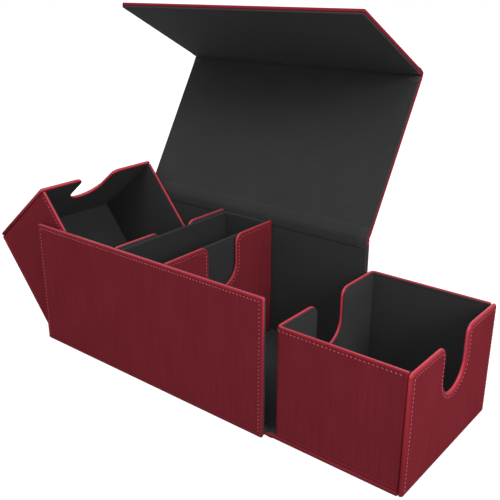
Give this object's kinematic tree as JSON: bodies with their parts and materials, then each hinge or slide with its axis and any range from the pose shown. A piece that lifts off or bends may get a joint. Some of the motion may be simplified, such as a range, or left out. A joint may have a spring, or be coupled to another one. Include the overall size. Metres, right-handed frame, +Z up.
{
  "type": "playing card box with fold-out trays",
  "caption": "Open card box of wrapped board with a hinged lid and magnetic flap, two fold-out card trays with finger notches, and a lift-out insert.",
  "frame": {"origin": "middle of the case's underside", "axes": "+X along the case to the tray that lies folded out flat, +Y to the lid's hinge, +Z up"},
  "size_m": [0.3834, 0.1933, 0.2621],
  "materials": {
    "red_skin": "fine straight grain, soft sheen",
    "board": "dense grey board, hidden",
    "lining": "matt black microfibre",
    "insert": "board covered in matt black microfibre",
    "magnet": "plated disc, hidden"
  },
  "bodies": {
    "case": {"back_wall_board": "board", "back_wall_cover": "red_skin", "back_wall_lining": "lining", "floor_board": "board", "floor_cover": "red_skin", "floor_lining": "lining", "front_wall_board": "board", "front_wall_cover": "red_skin", "front_wall_lining": "lining", "front_wall_magnets": "magnet", "left_fold_strip": "red_skin", "lid_hinge_strip": "red_skin", "middle_left_wall_board": "board", "middle_left_wall_cover": "red_skin", "middle_left_wall_lining": "lining", "middle_right_wall_board": "board", "middle_right_wall_cover": "red_skin", "middle_right_wall_lining": "lining", "right_fold_strip": "red_skin"},
    "flap": {"flap_board": "board", "flap_cover": "red_skin", "flap_lining": "lining", "flap_magnets": "magnet"},
    "lid": {"flap_hinge_strip": "red_skin", "lid_board": "board", "lid_cover": "red_skin", "lid_lining": "lining"},
    "insert": {"insert_box": "insert", "insert_pad": "lining"},
    "left_tray": {"left_tray_back_wall_board": "board", "left_tray_back_wall_cover": "red_skin", "left_tray_back_wall_lining": "lining", "left_tray_base_board": "board", "left_tray_base_cover": "red_skin", "left_tray_base_lining": "lining", "left_tray_end_board": "board", "left_tray_end_cover": "red_skin", "left_tray_end_lining": "lining", "left_tray_front_wall_board": "board", "left_tray_front_wall_cover": "red_skin", "left_tray_front_wall_lining": "lining", "left_tray_near_wall_board": "board", "left_tray_near_wall_cover": "red_skin", "left_tray_near_wall_lining": "lining"},
    "right_tray": {"right_tray_back_wall_board": "board", "right_tray_back_wall_cover": "red_skin", "right_tray_back_wall_lining": "lining", "right_tray_base_board": "board", "right_tray_base_cover": "red_skin", "right_tray_base_lining": "lining", "right_tray_end_board": "board", "right_tray_end_cover": "red_skin", "right_tray_end_lining": "lining", "right_tray_front_wall_board": "board", "right_tray_front_wall_cover": "red_skin", "right_tray_front_wall_lining": "lining", "right_tray_near_wall_board": "board", "right_tray_near_wall_cover": "red_skin", "right_tray_near_wall_lining": "lining"}
  },
  "joints": [
    {"name": "lid_hinge", "type": "hinge", "parent": "case", "child": "lid", "pos_m": [0, 0.062, 0.1026], "axis": [-1, 0, 0], "range_deg": [-30.5, 59.5]},
    {"name": "flap_hinge", "type": "hinge", "parent": "lid", "child": "flap", "pos_m": [0, 0.12727, 0.21341], "axis": [-1, 0, 0], "range_deg": [0, 92.7]},
    {"name": "left_tray_fold", "type": "hinge", "parent": "case", "child": "left_tray", "pos_m": [-0.1112, 0, 0.0008], "axis": [0, 1, 0], "range_deg": [-51, 39]},
    {"name": "right_tray_fold", "type": "hinge", "parent": "case", "child": "right_tray", "pos_m": [0.1112, 0, 0.0008], "axis": [0, -1, 0], "range_deg": [0, 90]},
    {"name": "insert_lift", "type": "slide", "parent": "case", "child": "insert", "axis": [0, 0, 1], "range_m": [0, 0.1]}
  ]
}
